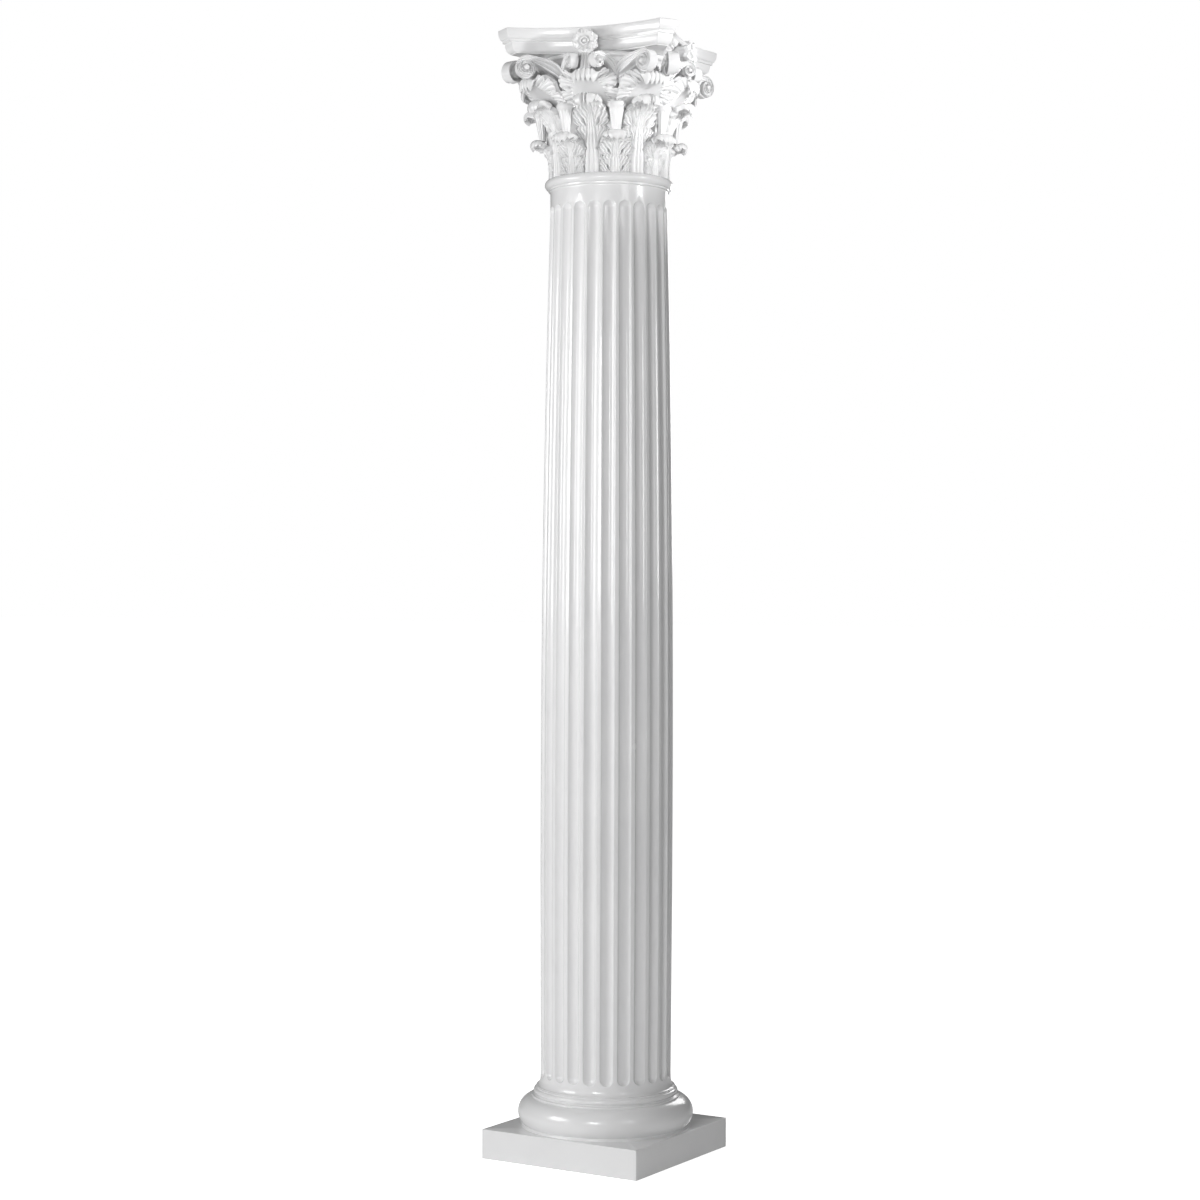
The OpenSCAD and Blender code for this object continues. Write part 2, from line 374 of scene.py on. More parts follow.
def makeBase():
    top = base["plinthHeight"]
    half = plinthSide / 2
    bore = column["boreRadius"]
    steps = base["steps"]
    profile = moulding(base["torusReach"], top, base["footRing"])
    profile += moulding(base["torusReach"], base["torusHeight"], base["torus"])
    profile += moulding(0, top + base["filletTop"], base["rings"])
    profile += moulding(0, baseHeight, base["lip"])
    rings = [circleRing(bore, 0, steps), circleRing(half * base["innerShare"], 0, steps)]
    rings += [squareRing(half, 0, steps), squareRing(half, top, steps)]
    rings.append(circleRing(base["seatReach"], top, steps))
    rings += [circleRing(reach, height, steps) for reach, height in profile]
    rings.append(circleRing(bore, baseHeight, steps))
    piece = skin("columnBase", rings, hollow=True)
    settled(piece, base["sharp"])
    softened(piece, base["plinthEdge"], base["edgeAngle"])
    settled(piece, base["sharp"])
    placed(piece, paintMaterial, "base")


makeBase()


shaft = {
    "flutes": 24,
    "fluteWidth": 0.029,
    "fluteDepth": 0.010,
    "fluteStart": 0.024,
    "fluteStop": shaftHeight - 0.063,
    "arris": 0.0009,
    "narrowest": 0.12,  # a flute's opening at its very ends, as a share of its half width
    "endMargin": 0.0006,
    "widestAt": 0.33,
    "footThin": 0.0025,
    "wall": 0.030,
    "flareReach": 0.009,
    "flareFoot": 0.002,
    "flareHeight": 0.0205,
    "flareTop": 0.02,
    "flarePower": 0.8,
    "footLip": ((-0.0008, 0.0010, 0.0010, -90, 60, 5),),  # from the flare's edge and the foot
    "neckBead": ((0, -0.044), (0, -0.030), (0.0026, -0.0285, 0.0026, 180, 95, 5),
                 (0.0039, -0.0250, 0.0008, -60, 60, 3), (0.0045, -0.0215),
                 (0.0018, -0.0112, 0.0110, -62, 89, 18)),  # from the neck and the shaft's top
    "flareSteps": 12,
    "endSteps": 10,
    "bodySteps": 36,
    "hollowSteps": 8,
    "innerRows": (1, 0.7, 0.35, 0),
    "weld": 1e-5,
    "sharp": 38,
}


# distance of the lands from the axis, at a height above the shaft's foot
def landRadius(height):
    widest = shaftHeight * shaft["widestAt"]
    if height < widest:
        return column["shaftRadius"] - shaft["footThin"] * ((widest - height) / widest) ** 2
    rise = min((height - widest) / (shaft["fluteStop"] - widest), 1)
    return column["shaftRadius"] - (column["shaftRadius"] - column["neckRadius"]) * rise ** 2


# how far a height is into a flute's round end, 0 along the straight part
def pastEnd(h):
    half = shaft["fluteWidth"] / 2
    return max(shaft["fluteStart"] + half - h, h - shaft["fluteStop"] + half, 0)


# how far the flute goes in, sideways distance x from its middle and height h
def fluteDepth(x, h):
    half = shaft["fluteWidth"] / 2
    deep = shaft["fluteDepth"]
    ball = (half * half + deep * deep) / (2 * deep)
    past = pastEnd(h)
    bite = sqrt(max(ball * ball - x * x - past * past, 0)) - (ball - deep)
    soft = shaft["arris"]
    return (bite + sqrt(bite * bite + soft * soft)) / 2


# outline of the shaft from its foot lip up over the neck bead, as (reach, height, is fluted)
def shaftOutline():
    half = shaft["fluteWidth"] / 2
    start, stop = shaft["fluteStart"], shaft["fluteStop"]
    flare, ends, body = shaft["flareSteps"], shaft["endSteps"], shaft["bodySteps"]
    lipReach = landRadius(shaft["flareTop"]) + shaft["flareReach"]
    foot = moulding(lipReach, 0, shaft["footLip"])
    for a in [pi / 2 * (i + 1) / flare for i in range(flare)]:
        inward = shaft["flareReach"] * sin(a) ** shaft["flarePower"]
        foot.append((lipReach - inward, shaft["flareFoot"] + shaft["flareHeight"] * (1 - cos(a))))
    straight = stop - start - 2 * half
    fluted = [start - shaft["endMargin"]]
    fluted += [start + half * (1 - cos(pi / 2 * i / ends)) for i in range(ends + 1)]
    fluted += [start + half + straight * i / body for i in range(1, body + 1)]
    fluted += [stop - half * cos(pi / 2 * i / ends) for i in range(1, ends + 1)]
    fluted.append(stop + shaft["endMargin"])
    rows = [(r, h, False) for r, h in foot]
    rows += [(landRadius(h), h, True) for h in fluted]
    rows += [(r, h, False) for r, h in moulding(column["neckRadius"], shaftHeight, shaft["neckBead"])]
    return rows


# sideways places of the columns of points from one flute's middle to the next, for one height
def fluteColumns(h, pitchWidth):
    half = shaft["fluteWidth"] / 2
    past = pastEnd(h)
    opening = sqrt(max(half * half - past * past, 0))
    opening = max(opening, half * shaft["narrowest"])
    mid = pitchWidth / 2
    steps = shaft["hollowSteps"]
    hollow = [opening * sin(pi / 2 * i / steps) for i in range(1, steps + 1)]
    land = [opening + shaft["arris"], mixed(opening, mid, 0.5), mid]
    near = [0.0] + hollow + land
    far = [pitchWidth - x for x in reversed(near[:-1])]
    return near + far


def makeShaftHalf(name, node, turn):
    pitch = tau / shaft["flutes"]
    rows = []
    for reach, h, fluted in shaftOutline():
        row = []
        for x in fluteColumns(h, reach * pitch):
            around = min(x, reach * pitch - x)
            r = reach - (fluteDepth(around, h) if fluted else 0)
            angle = x / reach
            row.append((r * cos(angle), r * sin(angle), h))
        rows.append(row)
    last = len(rows[0]) - 1
    angles = [pitch * j / last for j in range(last + 1)]
    for share in shaft["innerRows"]:
        h = shaftHeight * share
        reach = landRadius(h) - shaft["wall"]
        rows.append([(reach * cos(a), reach * sin(a), h) for a in angles])
    points = [point for row in rows for point in row]
    strip = meshPiece(name, points, gridFaces(len(rows), len(rows[0]), True, False))
    repeated(strip, shaft["flutes"] // 2, turn, pitch, paintMaterial, shaft["weld"])
    turnedPiece(strip, 0, shaftLow.z)
    settled(strip, shaft["sharp"], fillHoles=True)
    placed(strip, paintMaterial, node)


splitAngle = column["capitalTurn"] + column["shaftTurn"]
makeShaftHalf("shaftBackHalf", "shaft_back_half", splitAngle)
makeShaftHalf("shaftFrontHalf", "shaft_front_half", splitAngle + pi)


bell = {
    "height": capitalHeight - column["abacusHeight"],
    "footRadius": column["neckRadius"] - 0.007,
    "lipRadius": column["neckRadius"] + 0.029,
    "flarePower": 3,
    "behind": 0.001,  # the bell's skin stands this far inside the radius that the leaves rest on
    "lipHeight": 0.014,
    "lip": ((-0.004, -0.006, 0.006, -80, 80, 10), (-0.012, 0.002)),  # from the lip's edge and top
    "rows": 24,
    "steps": 144,
    "sharp": 40,
}


def bellRadius(h):
    t = min(max(h / bell["height"], 0), 1)
    return mixed(bell["footRadius"], bell["lipRadius"], t ** bell["flarePower"])


def makeBell():
    steps, rows = bell["steps"], bell["rows"]
    top = bell["height"]
    bore = column["boreRadius"]
    heights = [(top - bell["lipHeight"]) * i / rows for i in range(rows + 1)]
    profile = [(bore, 0)] + [(bellRadius(h) - bell["behind"], h) for h in heights]
    profile += moulding(bell["lipRadius"], top, bell["lip"])
    profile.append((bore, profile[-1][1]))
    rings = [circleRing(r, h, steps) for r, h in profile]
    piece = settled(skin("capitalBell", rings, hollow=True), bell["sharp"])
    turnedPiece(piece, column["capitalTurn"], capitalFoot)
    placed(piece, paintMaterial, "capital")


# insets are measured inwards from the outline of the top, heights from the underside
abacus = {
    "cornerReach": 0.2737,
    "cutWidth": 0.045,
    "dip": 0.041,
    "cornerShare": 0.9,  # how far the corners follow an inset
    "foot": ((0.0290, 0),),
    "cavettoInset": 0.0150,
    "cavettoDepth": 0.0135,
    "cavettoFoot": 0.0015,
    "cavettoHeight": 0.0215,
    "fillet": ((0.0148, 0.0236), (0.0102, 0.0240), (0.0098, 0.0245), (0.0098, 0.0285), (0.0094, 0.0290),
               (0.0085, 0.0292)),
    "ovoloDepth": 0.0085,
    "ovoloFoot": 0.0300,
    "ovoloHeight": 0.0215,
    "edge": ((0.0004, -0.0004), (0.0012, 0)),  # heights from the top
    "curveSteps": 10,
    "sideSteps": 28,
    "sharp": 32,
}


def abacusOutline(inset):
    corner = (abacus["cornerReach"] + abacus["cutWidth"] / 2) / sqrt(2)
    end = (abacus["cornerReach"] - abacus["cutWidth"] / 2) / sqrt(2)
    dip = abacus["dip"]
    sideRadius = (end * end + dip * dip) / (2 * dip)
    middle = corner - dip + sideRadius
    widest = math.asin(end / sideRadius)
    steps = abacus["sideSteps"]
    outline = []
    for side in range(column["faces"]):
        turn = side * pi / 2
        for i in range(steps + 1):
            b = mixed(-widest, widest, i / steps)
            reach = sideRadius + inset
            x = middle - reach * cos(b)
            y = reach * sin(b) * (1 - inset * abacus["cornerShare"] / end)
            outline.append((x * cos(turn) - y * sin(turn), x * sin(turn) + y * cos(turn)))
    return outline


def makeAbacus():
    foot, top = bell["height"], capitalHeight
    curve = [pi / 2 * i / abacus["curveSteps"] for i in range(abacus["curveSteps"] + 1)]
    profile = moulding(0, foot, abacus["foot"])
    for a in curve:
        inset = abacus["cavettoInset"] + abacus["cavettoDepth"] * (1 - sin(a))
        profile.append((inset, foot + abacus["cavettoFoot"] + abacus["cavettoHeight"] * (1 - cos(a))))
    profile += moulding(0, foot, abacus["fillet"])
    for a in curve:
        inset = abacus["ovoloDepth"] - abacus["ovoloDepth"] * sin(a)
        profile.append((inset, foot + abacus["ovoloFoot"] + abacus["ovoloHeight"] * (1 - cos(a))))
    profile += moulding(0, top, abacus["edge"])
    rings = [[(x, y, h) for x, y in abacusOutline(inset)] for inset, h in profile]
    bore = column["boreRadius"]
    angles = [math.atan2(y, x) for x, y, h in rings[0]]
    for h in (top, foot):
        rings.append([(bore * cos(a), bore * sin(a), h) for a in angles])
    piece = settled(skin("abacus", rings, hollow=True), abacus["sharp"])
    turnedPiece(piece, column["capitalTurn"], capitalFoot)
    placed(piece, paintMaterial, "capital")


makeBell()
makeAbacus()


# stages along a leaf from foot to tip, each as its start and its length
stages = {
    "lobesGrow": (0, 0.1),
    "lobesEnd": (0.74, 0.1),
    "stemThins": (0, 0.8),
    "curls": (0.5, 0.3),
    "reliefEnds": (0.70, 0.1),
    "tonguesPart": (0.8, 0.2),
    "tipBows": (0.7, 0.3),
    "backCurls": (0.6, 0.15),
    "tipThins": (0.85, 0.15),
}

# how leaves and shells alike are carved
carving = {
    "ridgePower": 0.6,  # low is a broad leaflet with a narrow groove
    "lobePower": 2.5,
    "toothPower": 1.5,
    "tonguePower": 0.5,
    "gapPower": 0.7,
    "lobeSlope": 2.5,  # how fast a lobe rises from where it springs
    "flank": 0.12,  # share of the way out over which the relief fades in
}


# eased step from 0 to 1 that starts at a place and takes a length
def ramp(t, start, length):
    return eased((t - start) / length)


# path of a leaf's front: up from its foot, sweeping out to the crest and over to the tip
def leafPath(shape):
    run = shape["reach"] - shape["curl"]
    crest = shape["crest"] - shape["thick"]
    sweepFoot = shape["sweepFoot"]
    near = shape["lean"](sweepFoot)
    rise, sweep, curl = shape["pathSteps"]
    path = []
    for i in range(rise):
        h = mixed(shape["foot"], sweepFoot, i / rise)
        path.append((shape["lean"](h), h))
    for a in [pi / 2 * i / sweep for i in range(sweep)]:
        path.append((run - (run - near) * cos(a), sweepFoot + (crest - sweepFoot) * sin(a)))
    path += arcPoints(run, shape["crest"] - shape["curl"], shape["curl"] - shape["thick"], 90,
                      shape["tipAngle"], curl)
    return path


# evenly spaced places along a path, each with its direction
def along(path):
    lengths = [0.0]
    for a, b in zip(path, path[1:]):
        lengths.append(lengths[-1] + math.dist(a, b))

    def at(v):
        goal = min(max(v, 0), 1) * lengths[-1]
        i = 1
        while i < len(path) - 1 and lengths[i] < goal:
            i += 1
        t = (goal - lengths[i - 1]) / (lengths[i] - lengths[i - 1])
        a, b = path[i - 1], path[i]
        size = math.dist(a, b)
        return mixed(a[0], b[0], t), mixed(a[1], b[1], t), (b[0] - a[0]) / size, (b[1] - a[1]) / size

    return at


# half a wave that is 0 at whole numbers and 1 half way between them
def scallop(t):
    return abs(sin(pi * t))


# 1 in the groove between two lobes and 0 on a lobe's back
def lobeGroove(t):
    return (1 - scallop(t)) ** carving["lobePower"]


# how far an edge is cut in between lobes and between leaflets
def edgeCut(shape, line):
    tooth = (1 - scallop(line)) ** carving["toothPower"]
    return shape["notch"] * lobeGroove(line / shape["perLobe"]) + shape["tooth"] * tooth


# height of the leaflets and lobes, a share of the way out from where they spring
def lobeRise(shape, line, share):
    lobe = 1 - lobeGroove(line / shape["perLobe"])
    ridge = scallop(line) ** carving["ridgePower"]
    return shape["leafletRise"] * ridge + shape["lobeRise"] * lobe * eased(share * carving["lobeSlope"])


# depth of the round hole that is drilled where two lobes part
def drilled(shape, line, away):
    apart = abs(line / shape["perLobe"] - round(line / shape["perLobe"])) * shape["perLobe"]
    near = apart * shape["leafletPitch"]
    return shape["holeDepth"] * math.exp(-(near / shape["hole"]) ** 2 - (away / shape["hole"]) ** 2)


# how far in the gaps between the tongues of a tip go
def tongueGap(shape, wave):
    return shape["tongue"] * (1 - wave ** carving["gapPower"])


def makeLeaf(name, shape, place):
    at = along(leafPath(shape))

    def halfWidth(v):
        swell = mixed(shape["footWidth"], 1, ramp(v, *shape["swell"]))
        fall = mixed(1, shape["tipWidth"], ramp(v, *shape["fall"]))
        return shape["width"] / 2 * min(swell, fall)

    def stemHalf(v):
        return mixed(shape["stemFoot"], shape["stemTip"], ramp(v, *stages["stemThins"]))

    # whole numbers are the grooves between leaflets, which spring from the stem one above another
    def phase(side, v):
        return shape["across"] * side + shape["leaflets"] * (1 - v) ** shape["crowding"]

    def tongueAt(u):
        return abs(cos(pi * shape["tongues"] * u))

    def edgeOf(v):
        lobed = (1 - ramp(v, *stages["lobesEnd"])) * ramp(v, *stages["lobesGrow"])
        return halfWidth(v) * (1 - edgeCut(shape, phase(1, v)) * lobed)

    def body(u, v):
        wide, stem = halfWidth(v), stemHalf(v)
        x = abs(u) * wide
        side = (x - stem) / (wide - stem)
        if side < 0:
            ribs = abs(cos(pi * x / stem * shape["stemRibs"])) ** carving["ridgePower"]
            return shape["stemRise"] * mixed(shape["ribFoot"], 1, ribs) * mixed(1, shape["stemFade"], v)
        line = phase(side, v)
        edge = shape["stemRise"] * shape["stemFlank"]
        rise = mixed(lobeRise(shape, line, side), edge, 1 - eased(side / carving["flank"]))
        return rise - drilled(shape, line, (side - shape["holeAt"]) * (wide - stem))

    def tip(u):
        return shape["tongueRise"] * tongueAt(u) ** carving["tonguePower"]

    def spot(u, v, offset):
        pull = tongueGap(shape, tongueAt(u)) * ramp(v, *stages["tonguesPart"])
        r, h, tr, th = at(v - pull - shape["bow"] * u * u * ramp(v, *stages["tipBows"]))
        x = u * edgeOf(v)
        curled = ramp(v, *stages["curls"])
        d = offset + shape["cup"] * (1 - u * u) * (1 - curled) + shape["droop"] * u * u * curled
        return place(r + th * d, x, h - tr * d)

    def front(u, v):
        return spot(u, v, mixed(body(u, v), tip(u), ramp(v, *stages["reliefEnds"])))

    def back(u, v):
        curled = ramp(v, *stages["backCurls"])
        thin = mixed(1, shape["tipThin"], ramp(v, *stages["tipThins"]))
        return spot(u, v, -shape["thick"] * thin - tip(u) * curled * shape["backFollows"])

    return slab(name, shape["rows"], shape["columns"], front, back, shape["backColumns"])


# a leaf against the bell bends round the axis
def onBell(r, x, h):
    angle = x / max(r, column["leafBend"])
    return r * cos(angle), r * sin(angle), h


# a ribbon in an upright plane that starts at a point and runs in a direction
def inPlane(start, heading):
    c, s = cos(heading), sin(heading)

    def place(run, x, h):
        return start[0] + run * c - x * s, start[1] + run * s + x * c, h

    return place


lowerLeaf = {
    "foot": 0.0, "sweepFoot": 0.030, "crest": 0.088, "reach": 0.182, "curl": 0.014, "thick": 0.0065,
    "tipAngle": -62, "lean": lambda h: bellRadius(h) + 0.0045, "pathSteps": (12, 24, 16),
    "width": 0.071, "footWidth": 0.92, "swell": (0.0, 0.2), "tipWidth": 0.90, "fall": (0.55, 0.35),
    "stemFoot": 0.0105, "stemTip": 0.0045, "stemRise": 0.0042, "stemRibs": 1.5, "stemFade": 0.7,
    "stemFlank": 0.25, "ribFoot": 0.45,
    "leaflets": 9.0, "crowding": 1.15, "across": 3.2, "perLobe": 3.0, "leafletPitch": 0.008,
    "notch": 0.20, "tooth": 0.10, "leafletRise": 0.0046, "lobeRise": 0.0026,
    "hole": 0.0032, "holeDepth": 0.0075, "holeAt": 0.30,
    "tongues": 2.5, "tongue": 0.09, "tongueRise": 0.0042, "bow": 0.05, "cup": 0.001, "droop": 0.008,
    "tipThin": 0.3, "backFollows": 0.6,
    "rows": 104, "columns": 81, "backColumns": 17,
}
upperLeaf = dict(
    lowerLeaf, sweepFoot=0.080, crest=0.167, reach=0.206, curl=0.0165, tipAngle=-72,
    lean=lambda h: bellRadius(h) + 0.0025 + 0.055 * h,
    width=0.083, footWidth=0.60, swell=(0.26, 0.2), tipWidth=0.76, stemFoot=0.0175, stemRise=0.0058,
    leaflets=12.0, across=3.4, leafletPitch=0.009, notch=0.18, tooth=0.09, leafletRise=0.0050,
    lobeRise=0.0030, hole=0.0035, holeDepth=0.0080, tongues=3.5, tongue=0.08, tongueRise=0.0045,
    cup=0.002, droop=0.007, rows=112,
)


# shells that spring from the stalks: a smooth hollow under an arch of frilled leaf
faceShell = {
    "foot": 0.128, "footWidth": 0.2, "footBehind": 0.001, "low": 0.144, "sideStand": 0.010,
    "innerTop": 0.201, "outerTop": 0.224, "square": 2.7, "outerSquare": 6.0,
    "innerWidth": 0.039, "outerWidth": 0.067, "crownWidth": 0.1, "reach": 0.207, "reachPower": 1.2,
    "flare": 0.007, "thick": 0.004, "hollow": 2.0, "hollowTilt": 0.7, "bandTilt": 0.3, "narrowing": 0.8,
    "rim": 0.42, "curlOut": 0.0085, "curlUp": 0.0125, "rimAngle": 200, "rimLead": 20, "tipAngle": -68,
    "curlWidth": 1.25, "crown": 0.32, "crownBlend": 0.07, "crownBack": 1.94,
    "tongues": 7.0, "tongue": 0.2, "tongueRise": 0.0042,
    "leaflets": 14.0, "perLobe": 3.0, "slant": 1.6, "leafletPitch": 0.0085, "leafletRise": 0.0034,
    "lobeRise": 0.0036, "hole": 0.0028, "holeDepth": 0.0060, "holeAt": 0.25, "bandWidth": 0.022,
    "notch": 0.34, "tooth": 0.12, "rows": 38, "columns": 193, "backColumns": 25,
}
cornerShell = dict(faceShell, reach=0.2215, innerTop=0.196, outerTop=0.219)


def makeShell(name, shape, place):
    rim, low = shape["rim"], shape["low"]
    sideReach = bellRadius(low) + shape["sideStand"]
    crownReach = shape["reach"] - shape["crownBack"] * shape["curlOut"]
    lead = math.radians(shape["rimLead"])

    # a point of an arch: its sideways place, height and share of the full height
    def arch(u, width, top, square):
        s, c = sin(pi / 2 * u), cos(pi / 2 * u)
        swell = (abs(s) ** square + abs(c) ** square) ** (-1 / square)
        return width * s * swell, mixed(low, top, c * swell), c * swell

    def atCrown(u):
        return eased((shape["crown"] - abs(u)) / shape["crownBlend"] + 0.5)

    def phase(u, t):
        return shape["leaflets"] * (1 - abs(u)) + shape["slant"] * t

    def tongueAt(u):
        return abs(cos(pi * shape["tongues"] * u))

    def edgeShare(u):
        return 1 - mixed(edgeCut(shape, phase(u, 1)), tongueGap(shape, tongueAt(u)), atCrown(u))

    def relief(u, t):
        line = phase(u, t)
        frill = lobeRise(shape, line, t) - drilled(shape, line, (t - shape["holeAt"]) * shape["bandWidth"])
        tongue = shape["tongueRise"] * tongueAt(u) ** carving["tonguePower"]
        return mixed(frill, tongue, atCrown(u)) * eased(t / carving["flank"])

    # the smooth hollow, from its foot up to the rim
    def hollowSpot(u, t, offset):
        x, h, share = arch(u, shape["innerWidth"], shape["innerTop"], shape["square"])
        rimReach = mixed(sideReach, crownReach, share ** shape["reachPower"])
        height = mixed(shape["foot"], h, t)
        r = mixed(bellRadius(height) + shape["footBehind"], rimReach, t ** shape["hollow"])
        width = mixed(shape["footWidth"], 1, t ** shape["narrowing"])
        return place(r + offset * shape["hollowTilt"], x * width, height - offset * shape["hollowTilt"])

    # the frilled band outside the rim, which rolls over at the crown
    def bandSpot(u, t, offset):
        x, h, share = arch(u, shape["innerWidth"], shape["innerTop"], shape["square"])
        rimReach = mixed(sideReach, crownReach, share ** shape["reachPower"])
        outerX, outerH, outerShare = arch(u, shape["outerWidth"], shape["outerTop"], shape["outerSquare"])
        outerX *= 1 + shape["crownWidth"] * outerShare
        band = (rimReach + shape["flare"] * t + offset, mixed(x, outerX, t),
                mixed(h, outerH, t) - offset * shape["bandTilt"])
        turn = math.radians(mixed(shape["rimAngle"], shape["tipAngle"], t))
        curl = (rimReach + shape["curlOut"] * (cos(lead) + cos(turn)) + offset * cos(turn),
                x * mixed(1, shape["curlWidth"], t),
                h + shape["curlUp"] * (sin(lead) + sin(turn)) + offset * sin(turn))
        return place(*[mixed(a, b, atCrown(u)) for a, b in zip(band, curl)])

    def spot(u, v, offset):
        if v < rim:
            return hollowSpot(u, v / rim, offset)
        return bandSpot(u, (v - rim) / (1 - rim) * edgeShare(u), offset)

    def front(u, v):
        return spot(u, v, relief(u, (v - rim) / (1 - rim)) if v > rim else 0)

    def back(u, v):
        return spot(u, v, -shape["thick"])

    return slab(name, shape["rows"], shape["columns"], front, back, shape["backColumns"])


def makeRing(piece, firstAngle, count):
    settled(piece, column["carvedSharp"])
    repeated(piece, count, firstAngle + column["capitalTurn"], tau / count, paintMaterial)
    turnedPiece(settled(piece, column["carvedSharp"]), 0, capitalFoot)
    placed(piece, paintMaterial, "capital")


makeRing(makeLeaf("lowerLeaves", lowerLeaf, onBell), pi / 8, 2 * column["faces"])
makeRing(makeLeaf("upperLeaves", upperLeaf, onBell), 0, 2 * column["faces"])
makeRing(makeShell("faceShells", faceShell, onBell), 0, column["faces"])
makeRing(makeShell("cornerShells", cornerShell, onBell), pi / 4, column["faces"])


stalk = {
    "angle": pi / 8,
    "reach": 0.153,
    "lean": 0.006,
    "foot": 0.088,
    "top": 0.152,
    "footRadius": 0.010,
    "topRadius": 0.020,
    "swellPower": 1.3,
    "flatness": 0.75,
    "collar": 0.0028,
    "collarAt": 0.82,
    "collarLength": 0.16,
    "groove": 0.13,
    "grooveEnd": 0.8,
    "flutes": 9,
    "rows": 24,
    "steps": 72,
}


def makeStalk(name):
    rings = []
    for i in range(stalk["rows"] + 1):
        t = i / stalk["rows"]
        h = mixed(stalk["foot"], stalk["top"], t)
        radius = mixed(stalk["footRadius"], stalk["topRadius"], t ** stalk["swellPower"])
        collar = stalk["collar"] * sin(pi * min(max((t - stalk["collarAt"]) / stalk["collarLength"], 0), 1))
        groove = stalk["groove"] if t < stalk["grooveEnd"] else 0
        ring = []
        for j in range(stalk["steps"]):
            angle = tau * j / stalk["steps"]
            r = radius * (1 - groove * (1 - scallop(angle / tau * stalk["flutes"]))) + collar
            reach = stalk["reach"] + stalk["lean"] * t + stalk["flatness"] * r * cos(angle)
            ring.append((reach, r * sin(angle), h))
        rings.append(ring)
    return turnedPiece(skin(name, rings), stalk["angle"])


cornerScroll = {
    "start": (0.163, math.radians(23)), "low": 0.192,
    "centre": (0.2335, math.radians(36.8)), "height": 0.2305, "firstAngle": 104,
    "radius": 0.0225, "turns": 1.8, "shrink": 0.52,
    "band": 0.285, "stemBand": 0.0125, "footBand": 0.005, "pull": 0.55, "climb": 0.6,
    "depth": 0.024, "cone": 0.007, "rim": 0.0038, "eye": 0.0066,
    "stemSteps": 26, "turnSteps": 56,
}
innerScroll = dict(
    cornerScroll, start=(0.166, math.radians(21.5)), centre=(0.1965, math.radians(8.6)), height=0.2375,
    radius=0.0158, turns=1.4, shrink=0.5, band=0.31, stemBand=0.0095,
    depth=0.018, cone=0.005, rim=0.0030, eye=0.0045,
)

# parts of a scroll's section, given as shares of its band, rim, radius, depth and eye
scrollCut = {
    "half": ((0.0, 0.5), (0.14, 0.62), (0.24, 1), (0.40, 1.15), (0.58, 1),
             (0.68, 0.35), (0.76, 0), (0.90, 0), (0.97, 0.12), (1.0, 0.4)),
    "stemWidens": (0, 0.55),
    "stemNarrows": (0.6, 0.4),
    "web": ((-0.5, 0.9), (-0.44, 1.0), (0.14, 1.0), (0.2, 0.9)),
    "webSteps": 40,
    "eyeFoot": 0.1,
    "eyeSink": 0.6,
    "eyeDome": 0.7,
    "eyeRows": 8,
    "eyeSteps": 24,
    "sharp": 45,
}


def flatSpot(reach, angle):
    return reach * cos(angle), reach * sin(angle)


def bezier(a, b, c, d, t):
    s = 1 - t
    shares = (s ** 3, 3 * s * s * t, 3 * s * t * t, t ** 3)
    return [sum(share * end for share, end in zip(shares, ends)) for ends in zip(a, b, c, d)]


# line of a scroll in its plane, each point with its coil's radius, its share of the coil and of the stem
def scrollPath(scroll, run):
    height, radius, low = scroll["height"], scroll["radius"], scroll["low"]
    first = math.radians(scroll["firstAngle"])
    start = (run + radius * cos(first), height + radius * sin(first))
    pull = run * scroll["pull"]
    before = (start[0] - sin(first) * pull, start[1] + cos(first) * pull)
    steps = scroll["stemSteps"]
    path = []
    for i in range(steps):
        x, y = bezier((0, low), (0, mixed(low, start[1], scroll["climb"])), before, start, i / steps)
        path.append((x, y, None, 0, i / steps))
    steps = int(scroll["turnSteps"] * scroll["turns"])
    for i in range(steps + 1):
        turn = scroll["turns"] * i / steps
        r = radius * scroll["shrink"] ** turn
        angle = first - tau * turn
        path.append((run + r * cos(angle), height + r * sin(angle), r, turn / scroll["turns"], 1))
    return path


# half the width of a scroll's band, on its stem or where its coil has radius r
def bandHalf(scroll, r, stemShare):
    if r is not None:
        return r * scroll["band"]
    half = mixed(scroll["footBand"], scroll["stemBand"], ramp(stemShare, *scrollCut["stemWidens"]))
    return mixed(half, scroll["radius"] * scroll["band"], ramp(stemShare, *scrollCut["stemNarrows"]))


